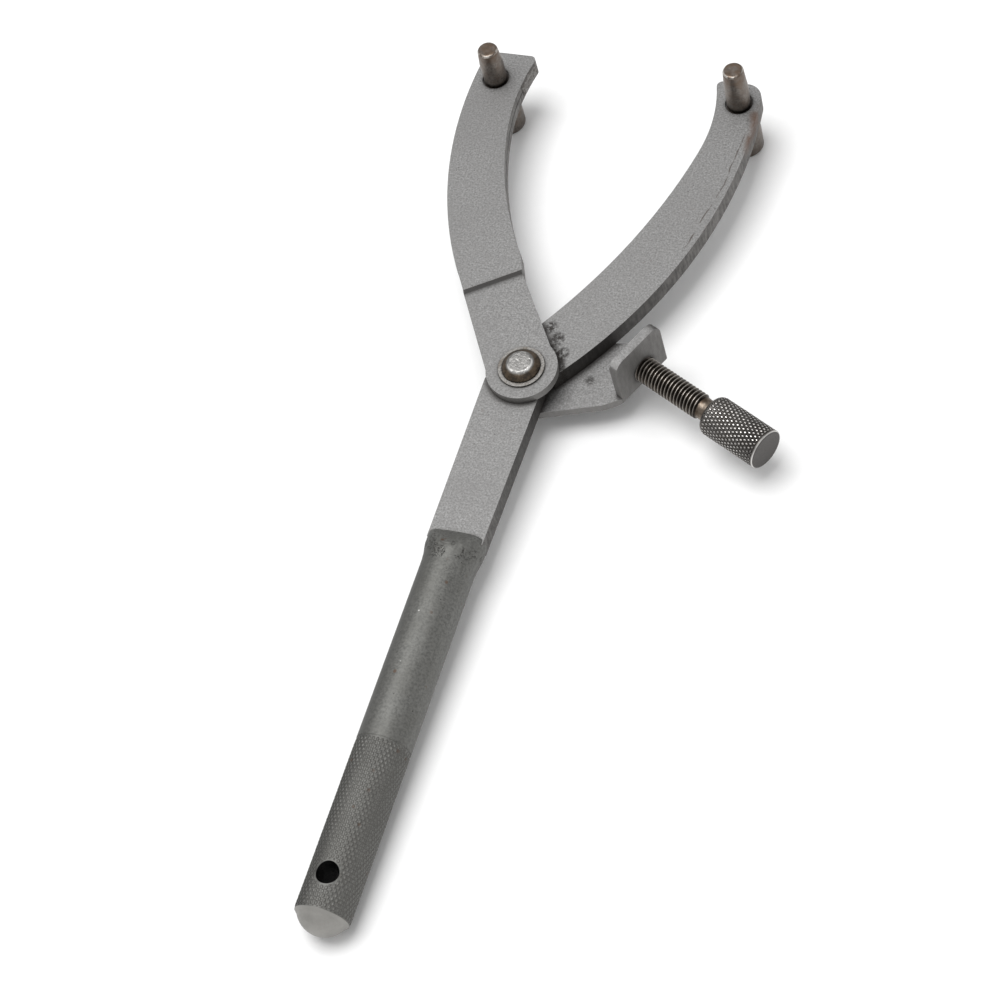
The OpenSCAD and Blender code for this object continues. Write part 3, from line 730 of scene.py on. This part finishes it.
# the outer edge of the fixed jaw is an arc about this point, and the crack runs inside it
OUTER_MIDDLE = (pivot.x - 109.1 * MM, pivot.y + 97.6 * MM)
CRACK_R = 152.3 * MM
edge = (OUTER_MIDDLE, CRACK_R, pivot.y + 48 * MM, pivot.y + 100 * MM)

dress("fixed_jaw", blasted("blasted_jaw", jaw_stains, jaw_grime, rusty=0.25,
                           ring=(HEAD_R, DIRT_WIDTH), crack=edge))
dress("upper_leaf", blasted("blasted_leaf", bend=(BEND_ANGLE, BEND_FROM, BEND_TO),
                            near_pivot=CLEAN_SIDE))
dress("lower_leaf", blasted("blasted_bracket", grime=bracket_grime, near_pivot=CLEAN_SIDE))
soften("fixed_jaw", 0.30)
soften("upper_leaf", 0.55, 3)
soften("lower_leaf", 0.45, 3)

bar = bar_steel("bar")
dress("handle_bar", bar)
dress("handle_weld", bar)
soften("handle_bar", 0.25)

jaw_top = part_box("fixed_jaw")[1].z
for node in ("fixed_jaw_pin", "moving_jaw_pin"):
    dress(node, pin_steel(node + "_paint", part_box(node)[1].z, jaw_top))
    soften(node, 0.15)

dress("pivot_rivet", rivet_steel("rivet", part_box("pivot_rivet")[1].z))
soften("pivot_rivet", 0.35, 3)
for node in ("upper_washer", "lower_washer"):
    dress(node, ring_steel(node + "_paint"))
    soften(node, 0.12)

# ---- knurled grip ----

bar_low, bar_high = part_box("handle_bar")
bar_r = (bar_high.x - bar_low.x) / 2
grip_r = bar_r - GRIP_RELIEF
end_y = bar_low.y + END_DOME + END_CHAMFER
GRIP_PITCH = 1.15 * MM
# a knurl's grooves lie this far inside the solid under it, so that no gap shows
SINK = 0.03 * MM
HOLE_RIM = 0.25 * MM
HOLE_FADE = 0.6 * MM

along, angle, rise, quads = knurl(bar_r, GRIP_PITCH, end_y + 0.1 * MM, GRIP_TOP,
                                  GRIP_RELIEF + SINK, fade_in=0.7 * MM, fade_out=1.6 * MM)
skin = np.stack([np.sin(angle) * bar_r, along, np.cos(angle) * bar_r], axis=1)
from_hole = np.hypot(skin[:, 0], skin[:, 1])
rise = rise * smoothstep((from_hole - HOLE_R - HOLE_RIM) / HOLE_FADE)
wear = 0.62 + 0.38 * value_noise(skin, 5 * MM, 7)
r = grip_r - SINK + rise * wear
verts = np.stack([np.sin(angle) * r, along, np.cos(angle) * r], axis=1)
quads = [q for q in quads if min(from_hole[list(q)]) > HOLE_R + 0.08 * MM]
build("grip_knurl", verts, quads, bar_steel("grip", (grip_r, bar_r - SINK)), "handle")

# ---- screw: real thread, neck and tip ----

# axes: x out along the screw, z up
UP = Vector((0, 0, 1))
turned = Matrix((screw_out, UP.cross(screw_out), UP)).transposed().to_4x4()
screw_frame = Matrix.Translation(screw_pos) @ turned

THREAD_DEPTH = 0.68 * MM
AROUND = 64
shank_from, shank_to = along_screw("screw_shank")
crest_r = far_from_screw("screw_shank")
root_r = crest_r - THREAD_DEPTH
neck_from = shank_to - NECK_LENGTH
# one turn of the thread: share of the pitch, radius
profile = ((0.00, root_r), (0.14, root_r), (0.50, crest_r), (0.64, crest_r))
# worn waist of the neck, ending in a small fillet at the knob
waist = ((neck_from, NECK_R), (neck_from + 0.5 * MM, NECK_R - 0.10 * MM),
         (neck_from + 1.7 * MM, NECK_R - 0.14 * MM), (shank_to - 0.7 * MM, NECK_R - 0.05 * MM),
         (shank_to - 0.2 * MM, NECK_R + 0.10 * MM), (shank_to, NECK_R + 0.35 * MM))


def helix():
    """The thread, from the shank's chamfered end to the neck."""
    points, faces = [], []
    width = (math.ceil((neck_from - shank_from) / PITCH) + 2) * len(profile)
    for k in range(AROUND + 1):
        a = 2 * math.pi * k / AROUND
        for m in range(width):
            row, corner = divmod(m, len(profile))
            share, radius = profile[corner]
            x = shank_from + PITCH * (row - 1 + share + k / AROUND)
            x = min(max(x, shank_from), neck_from)
            radius = min(radius, crest_r - THREAD_EDGE + (x - shank_from),
                         NECK_R + (neck_from - x))
            points.append((x, radius * math.cos(a), radius * math.sin(a)))
    for k in range(AROUND):
        for m in range(width - 1):
            p = k * width + m
            faces.append((p, p + 1, p + 1 + width, p + width))
    return points, faces


verts, faces = helix()
for stations in (((shank_from, crest_r - THREAD_EDGE),), waist):
    more_verts, more_faces = lathe(stations, AROUND)
    faces += [tuple(c + len(verts) for c in face) for face in more_faces]
    verts += more_verts
    # the last ring of each is closed with a flat face
    faces.append(tuple(range(len(verts) - AROUND, len(verts))))
shank = build("screw_thread", verts, faces,
              screw_steel("thread_paint", (root_r, crest_r), neck_from), "screw",
              screw_frame)
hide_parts("screw_shank")
dress("screw_tip", screw_steel("tip_paint"))

# ---- knob: knurl and turned ends ----

knob_from, knob_to = along_screw("screw_knob")
knob_low = far_from_screw("screw_knob")
KNURL_RISE = 0.2 * MM
KNOB_PITCH = 1.10 * MM
knob_high = knob_low + KNURL_RISE

along, angle, rise, quads = knurl(knob_high, KNOB_PITCH, knob_from + 0.9 * MM,
                                  knob_to - 0.75 * MM, KNURL_RISE + SINK,
                                  fade_in=0.9 * MM, fade_out=0.5 * MM)
into = np.clip(knob_from + KNOB_ROUND - along, 0, None)
drop = KNOB_ROUND - np.sqrt(np.clip(KNOB_ROUND ** 2 - into ** 2, 0, None))
skin = np.stack([along, np.cos(angle) * knob_low, np.sin(angle) * knob_low], axis=1)
wear = 0.75 + 0.25 * value_noise(skin, 4 * MM, 11)
r = knob_low - drop - SINK + rise * wear
verts = np.stack([along, np.cos(angle) * r, np.sin(angle) * r], axis=1)
build("knob_knurl", verts, quads, knob_steel("knurl_paint", (knob_low, knob_high - SINK)),
      "screw", screw_frame)

# the knob's own body, turned in one profile: flat face, round, barrel, raised outer rim, dished end
CHAMFER = 0.35 * MM
RIM_R = knob_high - 0.02 * MM
LATHE = 96
outline = [(knob_from, 0.0), (knob_from, knob_low - KNOB_ROUND)]
outline += [(knob_from + KNOB_ROUND * (1 - math.cos(math.radians(a))),
             knob_low - KNOB_ROUND * (1 - math.sin(math.radians(a)))) for a in range(15, 91, 15)]
outline += [(knob_to - 0.78 * MM, knob_low), (knob_to - 0.72 * MM, RIM_R),
            (knob_to - CHAMFER, RIM_R), (knob_to - 0.10 * MM, knob_low - 0.12 * MM),
            (knob_to, knob_low - 0.30 * MM), (knob_to - 0.04 * MM, knob_low - 0.8 * MM),
            (knob_to - 0.05 * MM, 0.0)]
verts, faces = lathe(outline, LATHE)
knob = build("knob_body", verts, faces,
             knob_steel("knob_paint", rim_x=(knob_to - CHAMFER, knob_to)),
             "screw", screw_frame, smooth=True)
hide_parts("screw_knob")

# ---- uneven weld at the moving jaw's tip: beads along the leaves' edge, joined into one skin ----

seam = np.array([tuple(v.co) for v in nodes["leaf_tip_weld"].data.vertices])
seam_from, seam_to = seam[:, 1].min() + 0.9 * MM, seam[:, 1].max() - 1.0 * MM
BEADS = 9
BEAD_ROWS = 3
ROW_SPACE = 1.45 * MM
BESIDE = 1.5 * MM
VOXEL = 0.16 * MM
work = bmesh.new()
for i in range(BEADS):
    y = np.interp(i, (0, BEADS - 1), (seam_from, seam_to))
    edge_x = seam[np.abs(seam[:, 1] - y) < BESIDE, 0].min()
    for j in range(BEAD_ROWS):
        wobble = math.sin(5.3 * i + 2.9 * j)
        at = Vector((edge_x - 0.15 * MM + 0.15 * MM * wobble, y + 0.3 * MM * math.sin(3.0 * j + i),
                     (j - 1) * ROW_SPACE + 0.2 * MM * wobble))
        size = (1.0 + 0.18 * math.sin(3.1 * i + 4.7 * j)) * MM
        made = bmesh.ops.create_icosphere(work, subdivisions=3, radius=1.0)
        squash = Matrix.Diagonal((size * 0.80, size * 1.10, size * 1.10, 1.0))
        bmesh.ops.transform(work, matrix=Matrix.Translation(at) @ squash, verts=made["verts"])
mesh = bpy.data.meshes.new("tip_weld")
work.to_mesh(mesh)
work.free()
mesh.materials.append(weld_steel("weld_paint"))
tip_weld = show("tip_weld", mesh)
remesh = tip_weld.modifiers.new("join", "REMESH")
remesh.mode = "VOXEL"
remesh.voxel_size = VOXEL
remesh.use_smooth_shade = True
relax = tip_weld.modifiers.new("relax", "SMOOTH")
relax.iterations = 4
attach(tip_weld, "moving_jaw")
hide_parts("leaf_tip_weld")

# ---- shoulder: the bar ground down to the plate, its weld worn smooth ----

front_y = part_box("handle_weld")[1].y
slope = math.atan2(bar_r - PLATE_HALF_THICK, SLOPE_RUN)
# the shoulder starts this far behind the front, inside the bar, and comes out of it gradually
nose_back = front_y - 12.5 * MM
COVER = 0.32 * MM
COVER_SINK = 0.03 * MM
BLEND = 1.2 * MM
WIDEN_FROM = 9 * MM
LUMP_SIZE = 0.9 * MM
LUMP_HEIGHT = 0.16 * MM


def blend_max(a, b):
    """The larger of two distances, rounded where they cross."""
    h = np.clip(BLEND - np.abs(a - b), 0, None) / BLEND
    return np.maximum(a, b) + h * h * BLEND / 4


def nose(points):
    """How far points lie outside the ground end of the bar."""
    x, y, z = points[:, 0], points[:, 1] - front_y, np.abs(points[:, 2])
    wide = 1 + (SHANK_HALF_WIDE / bar_r - 1) * smoothstep((y + WIDEN_FROM) / (5 * MM))
    wedge = (y + SLOPE_RUN) * math.sin(slope) + (z - bar_r) * math.cos(slope)
    bow = np.hypot(x, y + BOW_R) - BOW_R
    cover = COVER * smoothstep((points[:, 1] - nose_back) / (6 * MM)) - COVER_SINK
    lumps = (value_noise(points, LUMP_SIZE, 3) - 0.5) * LUMP_HEIGHT
    lumps = lumps * smoothstep((y + WIDEN_FROM) / (3 * MM))
    return blend_max(blend_max(np.hypot(x / wide, z) - bar_r, wedge), bow) - cover + lumps


# rays from a point inside the bar, in rings from square across to straight ahead
RINGS, SPOKES = 90, 160
HALVINGS = 26
NEAREST, FARTHEST = 1 * MM, 20 * MM
start = np.array((0.0, nose_back, 0.0))
rays = np.array([(math.sin(t) * math.cos(a), math.cos(t), math.sin(t) * math.sin(a))
                 for t in np.radians(np.linspace(90, 1, RINGS))
                 for a in np.linspace(0, 2 * math.pi, SPOKES, endpoint=False)])
near, far = np.full(len(rays), NEAREST), np.full(len(rays), FARTHEST)
for _ in range(HALVINGS):
    middle = (near + far) / 2
    outside = nose(start + rays * middle[:, None]) > 0
    near, far = np.where(outside, near, middle), np.where(outside, middle, far)
verts = start + rays * near[:, None]
faces = [(r * SPOKES + k, r * SPOKES + (k + 1) % SPOKES,
          (r + 1) * SPOKES + (k + 1) % SPOKES, (r + 1) * SPOKES + k)
         for r in range(RINGS - 1) for k in range(SPOKES)]
faces.append(tuple(range((RINGS - 1) * SPOKES, RINGS * SPOKES)))
shoulder = build("shoulder", verts, faces, bar_steel("shoulder_paint", nicked=True), "handle",
                 smooth=True)
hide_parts("handle_weld")

# ---- floor: the plane that the two lower pins and the handle's end stand on ----

stand = [Vector((c.x, c.y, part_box(n)[0].z)) for n, c in
         (("fixed_jaw_pin", fixed_pin), ("moving_jaw_pin", moving_pin))]
stand.append(Vector((0.0, end_y, -grip_r)))
normal = (stand[1] - stand[0]).cross(stand[2] - stand[0]).normalized()
if normal.z < 0:
    normal = -normal
FLOOR = 4.0
FLOOR_GAP = 0.05 * MM
floor_mesh = bpy.data.meshes.new("floor")
floor_mesh.from_pydata([(-FLOOR, -FLOOR, 0), (FLOOR, -FLOOR, 0), (FLOOR, FLOOR, 0),
                        (-FLOOR, FLOOR, 0)], [], [(0, 1, 2, 3)])
floor = show("floor", floor_mesh)
floor.matrix_world = (Matrix.Translation(stand[2] - normal * FLOOR_GAP)
                      @ UP.rotation_difference(normal).to_matrix().to_4x4())
paper = Paint("paper", metallic=0.0)
floor_mesh.materials.append(paper.finish(
    paper.mix(paper.noise(3.0, 2.0), (0.89, 0.89, 0.89), (0.91, 0.91, 0.91)),
    paper.step(paper.noise(6.0), 0.2, 0.8, 0.75, 0.85)))

# ---- light ----

# one large softbox, almost straight above the part
KEY_SIZE = 0.95
KEY_WATTS = 16
KEY_DISTANCE = 1.4
key_aim = pivot + Vector((0, -0.02, 0))
key_direction = Vector((-0.18, 0.02, 1.0)).normalized()
key_data = bpy.data.lights.new("key", "AREA")
key_data.shape = "SQUARE"
key_data.size = KEY_SIZE
key_data.energy = KEY_WATTS
key = show("key", key_data)
key.location = key_aim + key_direction * KEY_DISTANCE
key.rotation_euler = key_direction.to_track_quat("Z", "Y").to_euler()

SKY_STRENGTH = 0.62
world = bpy.data.worlds.new("studio")
world.use_nodes = True
sky = world.node_tree.nodes["Background"]
sky.inputs["Color"].default_value = (1.0, 1.0, 1.0, 1.0)
sky.inputs["Strength"].default_value = SKY_STRENGTH
bpy.context.scene.world = world
bpy.context.scene.view_settings.view_transform = "Standard"
